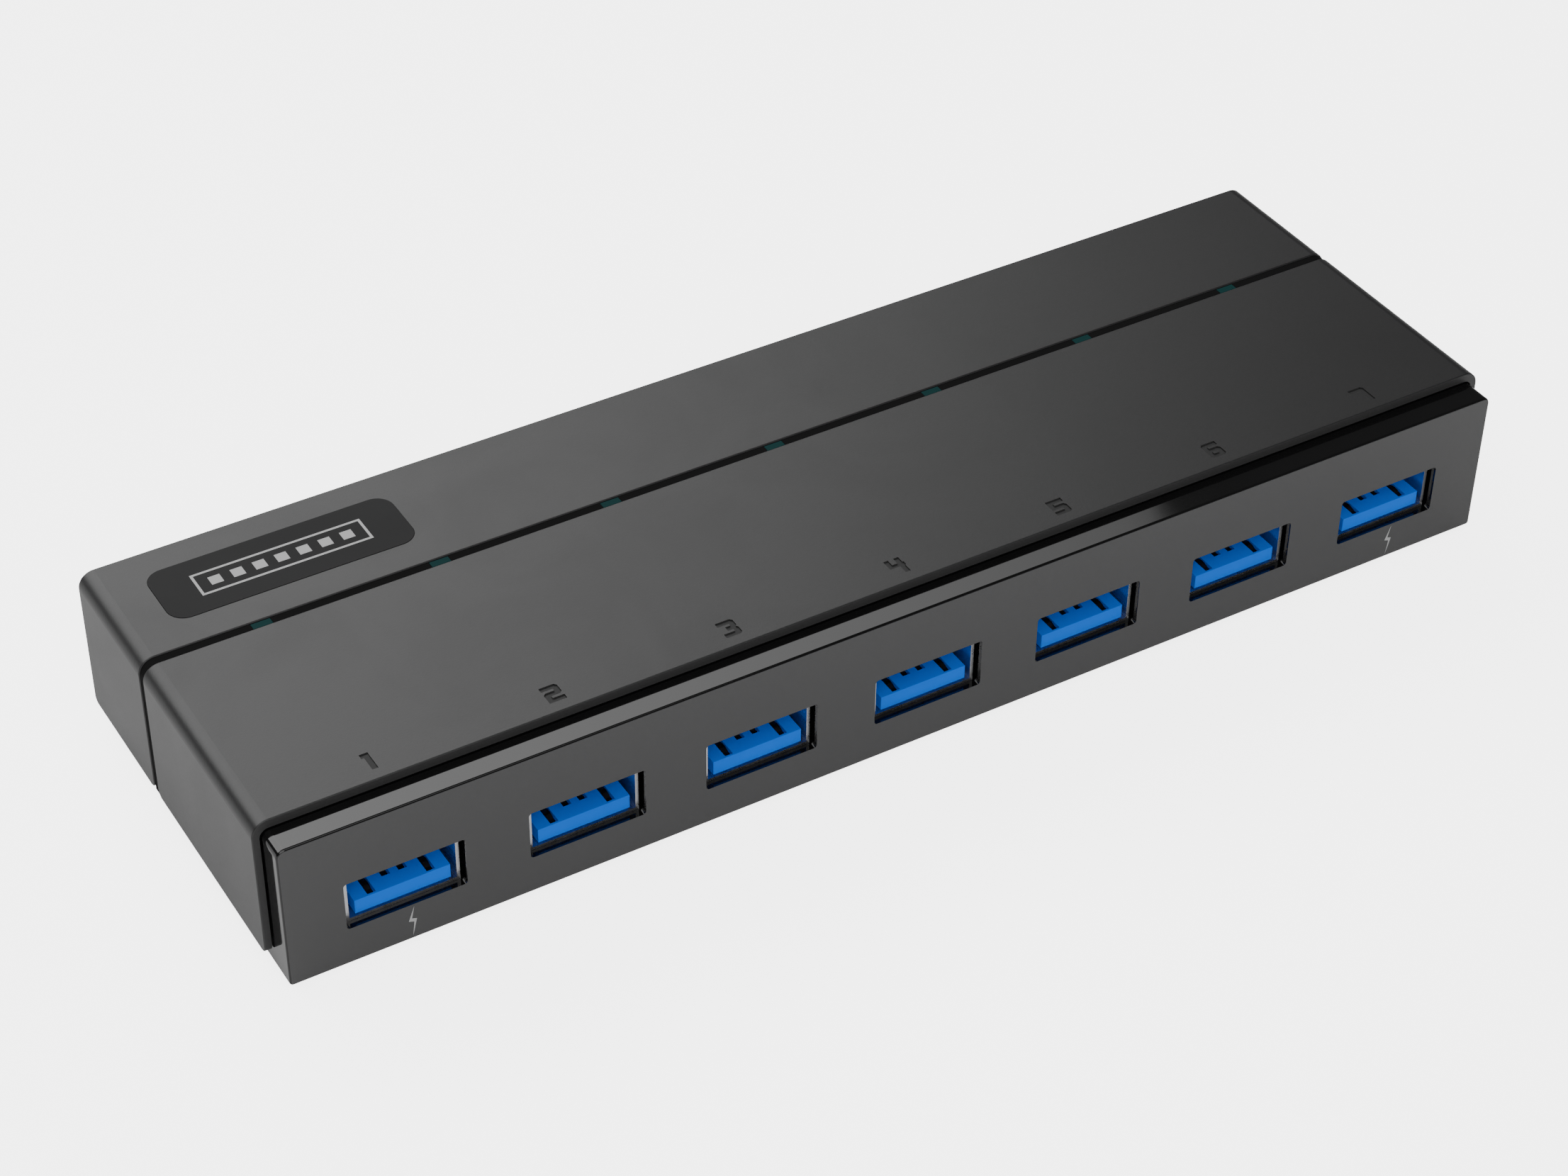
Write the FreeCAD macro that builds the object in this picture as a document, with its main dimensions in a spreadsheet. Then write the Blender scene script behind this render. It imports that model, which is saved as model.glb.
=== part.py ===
import FreeCAD, Part
import math
import os
import Sketcher

# Seven-port desktop USB hub: a long low case with two sleeve covers, a row of seven
# USB-A sockets in the front and a power jack and upstream socket in the back.
# Frame: +X along the row of ports (port 1 at -X), +Y from the port face to the back,
# +Z up, origin at the middle of the footprint on the plane the feet stand on. Sizes in mm.

os.makedirs("parts", exist_ok=True)
doc = FreeCAD.newDocument("hub")
portCount = 7

# driving dimensions
sheet = doc.addObject("Spreadsheet::Sheet", "dims")
driving = [
    # case
    ("rowMargin", 14.135), ("caseDepth", 51.57), ("footDrop", 0.9),
    ("bodyHeight", 19.35), ("bodyWall", 1.6),
    ("bodyTopRadius", 1.0), ("bodyBaseRadius", 0.4), ("edgeRadius", 0.28),
    ("faceWall", 2.0), ("bezelDepth", 6.0), ("trayWall", 1.8),
    ("backRecess", 0.8), ("backWall", 1.6),
    # sleeve covers and the band between them
    ("coverWall", 0.88), ("coverRise", 1.28), ("coverSlack", 0.165),
    ("coverStart", 3.81), ("grooveStart", 32.80), ("grooveWidth", 1.18),
    ("legLift", 2.0), ("legRadius", 0.95), ("coverRadius", 2.0), ("coverEdge", 0.14),
    ("bandRecess", 0.15),
    ("ribWidth", 1.2), ("ribInset", 1.5),
    # port row
    ("portPitch", 21.9), ("cutoutSlack", 0.36), ("cutoutRise", 0.52),
    ("cutoutDrop", 0.02), ("cutoutRadius", 0.4),
    # USB-A receptacle
    ("shellWidth", 13.55), ("shellHeight", 5.9), ("shellWall", 0.4), ("shellLength", 14.0),
    ("shellSetback", 1.05), ("shellBase", 5.03),
    ("tongueWidth", 11.3), ("tongueThick", 1.82), ("tongueGap", 0.38), ("tongueLength", 9.6),
    ("slotWidth", 1.0), ("slotDepth", 0.5), ("outerContact", 3.5), ("innerContact", 1.0),
    ("outerStart", 0.25), ("innerStart", 1.95), ("bladeWidth", 0.7), ("bladeThick", 0.2),
    ("shellLegWidth", 1.5), ("shellLegDrop", 2.3), ("shellLegStart", 4.5), ("shellLegSlack", 0.15),
    ("leafWidth", 2.2), ("leafLength", 5.7), ("leafStart", 3.3), ("leafSlot", 0.3),
    ("bladeStart", 0.4), ("humpRise", 0.42), ("humpFoot", 2.0), ("humpTop", 0.6), ("humpLead", 0.4),
    # marks sunk in the main cover
    ("digitHeight", 2.75), ("digitDepth", 0.15), ("digitBack", 5.39), ("digitShift", -0.35),
    # status windows
    ("windowWidth", 2.35), ("windowDepth", 0.95), ("windowShift", -0.65), ("windowSlack", 0.05),
    ("flangeWidth", 3.8), ("flangeDepth", 2.4), ("flangeThick", 0.8),
    ("ledLength", 1.6), ("ledDepth", 0.8), ("ledHeight", 0.6), ("ledGap", 0.3),
    # badge
    ("badgeLength", 30.2), ("badgeDepth", 9.4), ("badgeThick", 0.3), ("badgeSink", 0.25),
    ("badgeRadius", 2.2), ("badgeInset", 20.235), ("badgeShift", 0.125), ("badgeSlack", 0.05),
    # circuit board
    ("boardSideGap", 0.735), ("boardThick", 1.6), ("boardStart", 2.4), ("boardBackGap", 0.57),
    ("boardScrewInset", 14.835), ("boardScrewReach", 5.0), ("boardScrewClear", 0.6),
    ("boardScrewHole", 1.1),
    ("standoffRadius", 2.6), ("boardScrewRadius", 1.0), ("boardHeadRadius", 2.0),
    ("boardHeadHeight", 1.2), ("boardScrewLength", 4.0), ("boardScrewGap", 0.2),
    # case screws, posts and feet
    ("postRadius", 3.0), ("postSlack", 0.4), ("sidePostInset", 6.335), ("sidePostGap", 2.45),
    ("rearPostInset", 43.835), ("rearPostGap", 5.17), ("caseScrewRadius", 1.1),
    ("caseScrewLength", 9.0), ("caseHeadRadius", 2.5), ("caseHeadHeight", 0.9),
    ("headRecess", 1.0), ("headSlack", 0.15), ("shankSlack", 0.2), ("crossLength", 2.6),
    ("crossWidth", 0.6), ("crossDepth", 0.5),
    ("footRadius", 5.0), ("footSink", 0.8), ("footSlack", 0.05), ("footInset", 13.835),
    ("footFront", 12.5), ("footRear", 9.07), ("footEdge", 0.4),
    # power jack
    ("jackInset", 9.335), ("jackWidth", 9.0), ("jackHeight", 11.0), ("jackLength", 12.5),
    ("jackAxis", 6.2), ("jackBore", 2.85), ("jackDepth", 10.5), ("jackNose", 3.9),
    ("jackPin", 1.05), ("jackPinLength", 9.0), ("jackPinRoot", 1.35), ("noseSlack", 0.1),
    # upstream socket
    ("upInset", 24.935), ("upWidth", 12.0), ("upHeight", 12.2), ("upLength", 17.0),
    ("upWall", 0.4), ("upSetback", 0.3), ("upSlack", 0.2), ("upCavity", 9.2),
    ("upLowWidth", 8.6), ("upLowHeight", 6.4), ("upHighWidth", 5.9), ("upHighHeight", 3.3),
    ("upFloor", 0.9), ("upCut", 1.4), ("upStemWidth", 5.6), ("upStemHeight", 3.2),
    ("upStemLift", 1.5), ("upFinWidth", 3.9), ("upFinHeight", 1.3), ("upFinLift", 6.9),
    ("upTongueShort", 0.6), ("upStripShort", 1.4), ("upStripThick", 0.2), ("upStripWidth", 0.7),
    ("upStripReach", 1.25), ("upFineWidth", 0.45), ("upFineStep", 0.8),
    # chips on the board
    ("chipSize", 9.0), ("chipHeight", 0.9), ("chipShift", 1.1),
    ("dotRadius", 0.4), ("dotDepth", 0.1), ("dotInset", 1.08),
    ("crystalLength", 3.2), ("crystalDepth", 2.5), ("crystalHeight", 0.8), ("crystalShift", 2.5),
    ("coilSize", 7.0), ("coilHeight", 4.0), ("coilStart", -8.0), ("coilStep", 9.0), ("coilRadius", 1.17),
    ("coilGap", 0.3), ("capRadius", 3.15), ("capHeight", 5.8), ("capBase", 0.9), ("capGap", 1.84),
    ("fuseLength", 4.5), ("fuseDepth", 3.2), ("fuseHeight", 1.0), ("fuseGap", 1.45),
    ("passiveLength", 2.0), ("passiveDepth", 1.25), ("passiveHeight", 0.6), ("passiveStep", 4.0),
    ("passiveShift", 13.95),
]
for row, (alias, value) in enumerate(driving, start=1):
    sheet.set(f"A{row}", alias)
    sheet.set(f"B{row}", str(value))
    sheet.setAlias(f"B{row}", alias)
doc.recompute()


def behind(distance):
    # place a distance behind the port face
    return f"({distance}) - dims.caseDepth / 2"


def above(height):
    # place a height above the case's own underside
    return f"({height}) + dims.footDrop"


halfBody = f"({(portCount - 1) / 2} * dims.portPitch + dims.rowMargin)"
halfCase = f"({halfBody} + dims.coverSlack + dims.coverWall)"
coverTop = above("dims.bodyHeight + dims.coverRise")
bodyTop = above("dims.bodyHeight")
ceiling = above("dims.bodyHeight - dims.bodyWall")
trayTop = above("dims.trayWall")
boardTop = above("dims.shellBase")
boardBottom = above("dims.shellBase - dims.boardThick")
backInner = behind("dims.caseDepth - dims.backRecess - dims.backWall")
backOuter = behind("dims.caseDepth - dims.backRecess")
grooveEnd = "dims.grooveStart + dims.grooveWidth"
grooveMiddle = behind("dims.grooveStart + dims.grooveWidth / 2")
shellEnd = "dims.shellSetback + dims.shellLength"
cutoutWidth = "(dims.shellWidth + 2 * dims.cutoutSlack)"
cutoutBase = "(dims.shellBase - dims.cutoutDrop)"
cutoutTop = "(dims.shellBase + dims.shellHeight + dims.cutoutRise)"
boardHalf = f"({halfBody} - dims.bodyWall - dims.boardSideGap)"
badgeX = f"dims.badgeInset - {halfBody}"
badgeY = behind(f"({grooveEnd} + dims.caseDepth) / 2 + dims.badgeShift")
jackX = f"{halfBody} - dims.jackInset"
upX = f"({halfBody} - dims.upInset)"
fuseEnd = f"{shellEnd} + dims.fuseGap + dims.fuseDepth"
windowFront = "dims.grooveStart + dims.grooveWidth / 2 - dims.flangeDepth / 2"
chipMiddle = f"({fuseEnd} + {windowFront}) / 2"
chipReach = "(dims.portPitch + dims.chipShift)"
canBaseSide = "(2.1 * dims.capRadius)"
capacitorEnd = f"{chipMiddle} + dims.passiveShift + dims.passiveDepth / 2"
canStart = f"{shellEnd} + dims.capGap"
canEnd = f"{canStart} + {canBaseSide}"


def portX(index, shift="0"):
    return f"({index} - {(portCount - 1) / 2}) * dims.portPitch + {shift}"


# modelling helpers
parts = []


def newBody(label, x="0", y="0", z="0"):
    # a body with its own place; the sketches inside it are drawn about its own origin
    body = doc.addObject("PartDesign::Body", label)
    body.Label = label
    body.AllowCompound = True
    body.setExpression("Placement.Base.x", x)
    body.setExpression("Placement.Base.y", y)
    body.setExpression("Placement.Base.z", z)
    parts.append(body)
    return body


def originItem(body, role):
    return next(item for item in body.Origin.OriginFeatures if item.Role == role)


def newSketch(body, plane, offset="0"):
    # plane is "XY", "XZ" or "YZ"; offset is the place along the third axis
    sketch = body.newObject("Sketcher::SketchObject", body.Label + "Sketch")
    sketch.AttachmentSupport = (originItem(body, plane + "_Plane"), [""])
    sketch.MapMode = "FlatFace"
    sign = "-1 * " if plane == "XZ" else ""
    sketch.setExpression("AttachmentOffset.Base.z", f"{sign}({offset})")
    return sketch


def outline(sketch, corners):
    # closed polygon whose corners are all tied to the sheet
    first = sketch.GeometryCount
    count = len(corners)
    seed = [
        FreeCAD.Vector(math.cos(2 * math.pi * k / count), math.sin(2 * math.pi * k / count), 0)
        for k in range(count)
    ]
    for k in range(count):
        sketch.addGeometry(Part.LineSegment(seed[k], seed[(k + 1) % count]), False)
    for k in range(count):
        after = first + (k + 1) % count
        sketch.addConstraint(Sketcher.Constraint("Coincident", first + k, 2, after, 1))
    for k, (acrossValue, upValue) in enumerate(corners):
        for kind, value, start in (
            ("DistanceX", acrossValue, seed[k].x),
            ("DistanceY", upValue, seed[k].y),
        ):
            name = sketch.addConstraint(Sketcher.Constraint(kind, -1, 1, first + k, 1, start))
            sketch.setExpression(f"Constraints[{name}]", value)


def rectangle(sketch, left, low, right, high):
    outline(sketch, [(left, low), (right, low), (right, high), (left, high)])


def box(sketch, centreX, centreY, width, depth):
    rectangle(
        sketch,
        f"({centreX}) - ({width}) / 2", f"({centreY}) - ({depth}) / 2",
        f"({centreX}) + ({width}) / 2", f"({centreY}) + ({depth}) / 2",
    )


def circle(sketch, centreX, centreY, radius):
    seed = Part.Circle(FreeCAD.Vector(0.5, 0.5, 0), FreeCAD.Vector(0, 0, 1), 1)
    index = sketch.addGeometry(seed, False)
    for kind, value in (("DistanceX", centreX), ("DistanceY", centreY)):
        name = sketch.addConstraint(Sketcher.Constraint(kind, -1, 1, index, 3, 0.5))
        sketch.setExpression(f"Constraints[{name}]", value)
    name = sketch.addConstraint(Sketcher.Constraint("Radius", index, 1.0))
    sketch.setExpression(f"Constraints[{name}]", radius)


def pad(body, sketch, length):
    # always grows towards the positive axis
    feature = body.newObject("PartDesign::Pad", body.Label + "Pad")
    feature.Profile = sketch
    feature.Reversed = originRole(sketch) == "XZ_Plane"
    feature.setExpression("Length", length)
    return feature


def originRole(sketch):
    return sketch.AttachmentSupport[0][0].Role


def pocket(body, sketch, length, towards):
    # towards is +1 or -1 along the axis the sketch faces
    doc.recompute()
    solidBefore = body.Tip.Shape.Volume
    feature = body.newObject("PartDesign::Pocket", body.Label + "Pocket")
    feature.Profile = sketch
    plusByDefault = originRole(sketch) == "XZ_Plane"
    feature.Reversed = (towards > 0) != plusByDefault
    feature.setExpression("Length", length)
    doc.recompute()
    assert feature.Shape.Volume < solidBefore - 1e-4, f"{body.Label}: the cut took nothing away"
    return feature


def alongPorts(body, features):
    # repeats features made at port 1 along the whole row
    pattern = body.newObject("PartDesign::LinearPattern", body.Label + "Row")
    pattern.Originals = features
    pattern.Direction = (originItem(body, "X_Axis"), [""])
    pattern.setExpression("Length", f"{portCount - 1} * dims.portPitch")
    pattern.Occurrences = portCount
    body.Tip = pattern
    doc.recompute()
    return pattern


def roundEdges(body, radius, wanted):
    # rounds every edge of the body's last feature for which wanted(edge) holds
    doc.recompute()
    last = body.Tip
    names = [f"Edge{n}" for n, edge in enumerate(last.Shape.Edges, start=1) if wanted(edge)]
    assert names, body.Label
    feature = body.newObject("PartDesign::Fillet", body.Label + "Round")
    feature.Base = (last, names)
    feature.setExpression("Radius", radius)
    doc.recompute()
    return feature


def size(alias):
    return float(sheet.get(alias))


def near(first, second, slack=0.02):
    return abs(first - second) < slack


def along(edge, axis):
    # true for a straight edge that runs along one axis
    spans = [edge.BoundBox.XLength, edge.BoundBox.YLength, edge.BoundBox.ZLength]
    wantedSpan = spans.pop("XYZ".index(axis))
    return wantedSpan > 0.05 and max(spans) < 0.001


# numbers the edge choosers need, read from the sheet
faceY = -size("caseDepth") / 2
bodyX = (portCount - 1) / 2 * size("portPitch") + size("rowMargin")
caseX = bodyX + size("coverSlack") + size("coverWall")
baseZ = size("footDrop")
bodyTopZ = baseZ + size("bodyHeight")
coverTopZ = bodyTopZ + size("coverRise")


def longEdge(edge, x, z):
    # true for an edge along Y that lies at the distance x from the middle and at the height z
    return along(edge, "Y") and near(abs(edge.BoundBox.XMin), x) and near(edge.BoundBox.ZMin, z)


def roundBodySection(body):
    # the long edges of everything that shares the inner body's section
    roundEdges(body, "dims.bodyTopRadius", lambda edge: longEdge(edge, bodyX, bodyTopZ))
    roundEdges(body, "dims.bodyBaseRadius", lambda edge: longEdge(edge, bodyX, baseZ))


# front bezel
bezel = newBody("front_bezel")
section = newSketch(bezel, "XZ", behind("0"))
rectangle(section, f"-({halfBody})", above("0"), halfBody, bodyTop)
pad(bezel, section, "dims.bezelDepth")
roundBodySection(bezel)
hollow = newSketch(bezel, "XZ", behind("dims.faceWall"))
rectangle(
    hollow, f"-({halfBody}) + dims.bodyWall", above("dims.bodyWall"),
    f"{halfBody} - dims.bodyWall", ceiling,
)
pocket(bezel, hollow, "dims.bezelDepth - dims.faceWall", +1)
mouth = newSketch(bezel, "XZ", behind("0"))
rectangle(
    mouth, f"{portX(0)} - {cutoutWidth} / 2", above(cutoutBase),
    f"{portX(0)} + {cutoutWidth} / 2", above(cutoutTop),
)
firstMouth = pocket(bezel, mouth, "dims.faceWall", +1)
alongPorts(bezel, [firstMouth])


def mouthCorner(edge):
    bounds = edge.BoundBox
    insideRow = abs(bounds.XMin) < bodyX - 2 * size("bodyWall")
    return along(edge, "Y") and near(bounds.YLength, size("faceWall")) and insideRow


roundEdges(bezel, "dims.cutoutRadius", mouthCorner)


def faceRim(edge):
    bounds = edge.BoundBox
    if bounds.YMax > faceY + 0.001:
        return False
    onSide = near(abs(bounds.XMin), bodyX) or near(abs(bounds.XMax), bodyX)
    return onSide or near(bounds.ZMax, bodyTopZ) or near(bounds.ZMin, baseZ)


roundEdges(bezel, "dims.edgeRadius", faceRim)

# inner chassis
chassis = newBody("inner_chassis")
section = newSketch(chassis, "XZ", behind("dims.bezelDepth"))
outline(section, [
    (f"-({halfBody})", above("0")), (f"-({halfBody})", bodyTop),
    (halfBody, bodyTop), (halfBody, above("0")),
    (f"{halfBody} - dims.bodyWall", above("0")), (f"{halfBody} - dims.bodyWall", ceiling),
    (f"-({halfBody}) + dims.bodyWall", ceiling), (f"-({halfBody}) + dims.bodyWall", above("0")),
])
pad(chassis, section, "dims.caseDepth - dims.backRecess - dims.backWall - dims.bezelDepth")
roundBodySection(chassis)
postPlaces = (
    ("sidePostInset", behind(f"{shellEnd} + dims.sidePostGap + dims.postRadius")),
    ("rearPostInset", f"{backInner} - dims.rearPostGap"),
)
postSpots = [
    (f"{sign} * ({halfBody} - dims.{inset})", place) for inset, place in postPlaces for sign in (-1, 1)
]
posts = newSketch(chassis, "XY", trayTop)
for spotX, spotY in postSpots:
    circle(posts, spotX, spotY, "dims.postRadius")
pad(chassis, posts, "dims.bodyHeight - dims.bodyWall - dims.trayWall")
threads = newSketch(chassis, "XY", trayTop)
for spotX, spotY in postSpots:
    circle(threads, spotX, spotY, "dims.caseScrewRadius")
pocket(chassis, threads, "dims.caseScrewLength", +1)
slot = newSketch(chassis, "XY", bodyTop)
box(
    slot, portX(0, "dims.windowShift"), grooveMiddle,
    "dims.windowWidth + 2 * dims.windowSlack", "dims.windowDepth + 2 * dims.windowSlack",
)
firstSlot = pocket(chassis, slot, "dims.bodyWall", -1)
alongPorts(chassis, [firstSlot])

# base tray
tray = newBody("base_tray")
plate = newSketch(tray, "XY", above("0"))
rectangle(
    plate, f"-({halfBody}) + dims.bodyWall", behind("dims.bezelDepth"),
    f"{halfBody} - dims.bodyWall", backInner,
)
pad(tray, plate, "dims.trayWall")
boardScrewY = behind(f"{canEnd} + dims.boardScrewClear + dims.boardHeadRadius")
boardSpots = [
    (f"{sign} * {reach}", boardScrewY)
    for reach in (f"({halfBody} - dims.boardScrewInset)", "dims.boardScrewReach")
    for sign in (-1, 1)
]
standoffs = newSketch(tray, "XY", trayTop)
for spotX, spotY in boardSpots:
    circle(standoffs, spotX, spotY, "dims.standoffRadius")
pad(tray, standoffs, "dims.shellBase - dims.boardThick - dims.trayWall")
tapped = newSketch(tray, "XY", boardBottom)
for spotX, spotY in boardSpots:
    circle(tapped, spotX, spotY, "dims.boardScrewRadius")
pocket(tray, tapped, "dims.boardScrewLength - dims.boardThick", -1)
recesses = newSketch(tray, "XY", above("0"))
for spotX, spotY in postSpots:
    circle(recesses, spotX, spotY, "dims.caseHeadRadius + dims.headSlack")
pocket(tray, recesses, "dims.headRecess", +1)
shanks = newSketch(tray, "XY", above("0"))
for spotX, spotY in postSpots:
    circle(shanks, spotX, spotY, "dims.caseScrewRadius + dims.shankSlack")
pocket(tray, shanks, "dims.trayWall", +1)
footSpots = [
    (f"{sign} * ({halfBody} - dims.footInset)", behind(place))
    for place in ("dims.footFront", "dims.caseDepth - dims.footRear")
    for sign in (-1, 1)
]
seats = newSketch(tray, "XY", above("0"))
for spotX, spotY in footSpots:
    circle(seats, spotX, spotY, "dims.footRadius + dims.footSlack")
pocket(tray, seats, "dims.footSink", +1)

# sleeve covers
innerX = f"{halfBody} + dims.coverSlack"
innerTop = above("dims.bodyHeight + dims.coverSlack")
legEnd = above("dims.legLift")


def makeCover(label, start, end):
    # a sleeve with an inverted-U section that runs from start to end behind the port face
    cover = newBody(label)
    section = newSketch(cover, "XZ", behind(start))
    outline(section, [
        (f"-({halfCase})", legEnd), (f"-({halfCase})", coverTop),
        (halfCase, coverTop), (halfCase, legEnd),
        (innerX, legEnd), (innerX, innerTop),
        (f"-({innerX})", innerTop), (f"-({innerX})", legEnd),
    ])
    pad(cover, section, f"({end}) - ({start})")
    ribs = newSketch(cover, "XY", bodyTop)
    for place in (-1.5, -0.5, 0.5, 1.5):
        middle = f"(({start}) + ({end})) / 2"
        box(
            ribs, f"{place} * 2 * dims.portPitch", behind(middle),
            "dims.ribWidth", f"({end}) - ({start}) - 2 * dims.ribInset",
        )
    pad(cover, ribs, "dims.coverSlack")
    legZ = baseZ + size("legLift")

    insideX = bodyX + size("coverSlack")
    insideZ = bodyTopZ + size("coverSlack")

    def legCorner(edge):
        narrow = edge.BoundBox.XLength < 2 * size("coverWall")
        return along(edge, "X") and near(edge.BoundBox.ZMin, legZ) and narrow

    roundEdges(cover, "dims.coverRadius", lambda edge: longEdge(edge, caseX, coverTopZ))
    roundEdges(
        cover, "dims.coverRadius - dims.coverWall", lambda edge: longEdge(edge, insideX, insideZ),
    )
    roundEdges(cover, "dims.legRadius", legCorner)
    ends = cover.Tip.Shape.BoundBox

    def outerRim(edge):
        bounds = edge.BoundBox
        atEnd = near(bounds.YMax, ends.YMin) or near(bounds.YMin, ends.YMax)
        onSide = near(abs(bounds.XMin), caseX) or near(abs(bounds.XMax), caseX)
        return atEnd and (onSide or near(bounds.ZMax, coverTopZ))

    roundEdges(cover, "dims.coverEdge", outerRim)
    return cover


mainCover = makeCover("main_cover", "dims.coverStart", "dims.grooveStart")
rearCover = makeCover("rear_cover", grooveEnd, "dims.caseDepth")

# squared port numbers, drawn in a cell 2.1 wide and 2.75 high with 0.69 wide strokes
cellWide = 2.1
cellHigh = 2.75
stroke = 0.69
nick = 0.3
midLow = (cellHigh - stroke) / 2
midHigh = midLow + stroke
stemLeft = 1.3
stemRight = 1.95
glyphs = {
    1: [[
        (0.9, 0), (1.6, 0), (1.6, cellHigh), (0.58, cellHigh),
        (0.58, cellHigh - stroke), (0.9, cellHigh - stroke),
    ]],
    2: [[
        (0, 0), (cellWide, 0), (cellWide, stroke), (stroke, stroke), (stroke, midLow),
        (cellWide - nick, midLow), (cellWide, midLow + nick), (cellWide, cellHigh - nick),
        (cellWide - nick, cellHigh), (0, cellHigh), (0, cellHigh - stroke),
        (cellWide - stroke, cellHigh - stroke), (cellWide - stroke, midHigh),
        (nick, midHigh), (0, midHigh - nick),
    ]],
    3: [[
        (0, 0), (cellWide - nick, 0), (cellWide, nick), (cellWide, midLow + 0.1),
        (cellWide - 0.18, cellHigh / 2), (cellWide, midHigh - 0.1), (cellWide, cellHigh - nick),
        (cellWide - nick, cellHigh), (0, cellHigh), (0, cellHigh - stroke),
        (cellWide - stroke, cellHigh - stroke), (cellWide - stroke, midHigh), (0.75, midHigh),
        (0.75, midLow), (cellWide - stroke, midLow), (cellWide - stroke, stroke), (0, stroke),
    ]],
    4: [[
        (stemLeft, 0), (stemRight, 0), (stemRight, 1.2), (cellWide, 1.2), (cellWide, 1.8),
        (stemRight, 1.8), (stemRight, cellHigh), (stemLeft, cellHigh), (stemLeft, 1.8),
        (0.6, 1.8), (0.6, cellHigh), (0, cellHigh), (0, 1.2), (stemLeft, 1.2),
    ]],
    5: [[
        (0, 0), (cellWide - nick, 0), (cellWide, nick), (cellWide, midHigh - nick),
        (cellWide - nick, midHigh), (stroke, midHigh), (stroke, cellHigh - stroke),
        (cellWide, cellHigh - stroke), (cellWide, cellHigh), (0, cellHigh), (0, midLow),
        (cellWide - stroke, midLow), (cellWide - stroke, stroke), (0, stroke),
    ]],
    6: [
        [
            (nick, 0), (cellWide - nick, 0), (cellWide, nick), (cellWide, midHigh - nick),
            (cellWide - nick, midHigh), (stroke, midHigh), (stroke, cellHigh - stroke),
            (cellWide, cellHigh - stroke), (cellWide, cellHigh), (nick, cellHigh),
            (0, cellHigh - nick), (0, nick),
        ],
        [
            (stroke, stroke), (cellWide - stroke, stroke),
            (cellWide - stroke, midLow), (stroke, midLow),
        ],
    ],
    7: [[
        (cellWide - stroke, 0), (cellWide, 0), (cellWide, cellHigh - nick), (cellWide - nick, cellHigh),
        (0, cellHigh), (0, cellHigh - stroke), (cellWide - stroke, cellHigh - stroke),
    ]],
}
digitScale = f"dims.digitHeight / {cellHigh}"
for number, loops in glyphs.items():
    glyph = newSketch(mainCover, "XY", coverTop)
    digitX = portX(number - 1, "dims.digitShift")
    for loop in loops:
        outline(glyph, [
            (
                f"{digitX} + {x - cellWide / 2:.4f} * {digitScale}",
                behind(f"dims.digitBack + {y:.4f} * {digitScale}"),
            )
            for x, y in loop
        ])
    pocket(mainCover, glyph, "dims.digitDepth", -1)

recess = newSketch(rearCover, "XY", coverTop)
box(
    recess, badgeX, badgeY,
    "dims.badgeLength + 2 * dims.badgeSlack", "dims.badgeDepth + 2 * dims.badgeSlack",
)
pocket(rearCover, recess, "dims.badgeSink", -1)
recessZ = coverTopZ - size("badgeSink")


def recessCorner(edge):
    bounds = edge.BoundBox
    inPlate = abs(bounds.XMin - size("badgeInset") + bodyX) < size("badgeLength")
    atDepth = near(bounds.ZMin, recessZ) and near(bounds.ZMax, coverTopZ)
    return along(edge, "Z") and inPlate and atDepth


roundEdges(rearCover, "dims.badgeRadius + dims.badgeSlack", recessCorner)

badge = newBody("badge_plate", badgeX, badgeY, f"{coverTop} - dims.badgeSink")
face = newSketch(badge, "XY")
box(face, "0", "0", "dims.badgeLength", "dims.badgeDepth")
pad(badge, face, "dims.badgeThick")
roundEdges(badge, "dims.badgeRadius", lambda edge: along(edge, "Z"))

# band between the covers
band = newBody("groove_band")
ring = newSketch(band, "XZ", behind("dims.grooveStart"))
bandX = f"{halfCase} - dims.bandRecess"
bandTop = f"{coverTop} - dims.bandRecess"
outline(ring, [
    (f"-({bandX})", legEnd), (f"-({bandX})", bandTop), (bandX, bandTop), (bandX, legEnd),
    (halfBody, legEnd), (halfBody, bodyTop), (f"-({halfBody})", bodyTop), (f"-({halfBody})", legEnd),
])
pad(band, ring, "dims.grooveWidth")


bandOuterX = caseX - size("bandRecess")
bandOuterZ = coverTopZ - size("bandRecess")
roundEdges(
    band, "dims.coverRadius - dims.bandRecess", lambda edge: longEdge(edge, bandOuterX, bandOuterZ),
)
roundEdges(band, "dims.bodyTopRadius", lambda edge: longEdge(edge, bodyX, bodyTopZ))
gate = newSketch(band, "XY", coverTop)
box(
    gate, portX(0, "dims.windowShift"), grooveMiddle,
    "dims.windowWidth + 2 * dims.windowSlack", "dims.windowDepth + 2 * dims.windowSlack",
)
firstGate = pocket(band, gate, "dims.coverRise", -1)
alongPorts(band, [firstGate])

# back panel
panel = newBody("rear_panel")
section = newSketch(panel, "XZ", backInner)
rectangle(section, f"-({halfBody})", above("0"), halfBody, bodyTop)
pad(panel, section, "dims.backWall")
roundBodySection(panel)
inlets = newSketch(panel, "XZ", backInner)
jackAxis = above("dims.shellBase + dims.jackAxis")
circle(inlets, jackX, jackAxis, "dims.jackNose + dims.noseSlack")
rectangle(
    inlets, f"{upX} - dims.upWidth / 2 - dims.upSlack", above("dims.shellBase"),
    f"{upX} + dims.upWidth / 2 + dims.upSlack", above("dims.shellBase + dims.upHeight + dims.upSlack"),
)
pocket(panel, inlets, "dims.backWall", +1)

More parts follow.
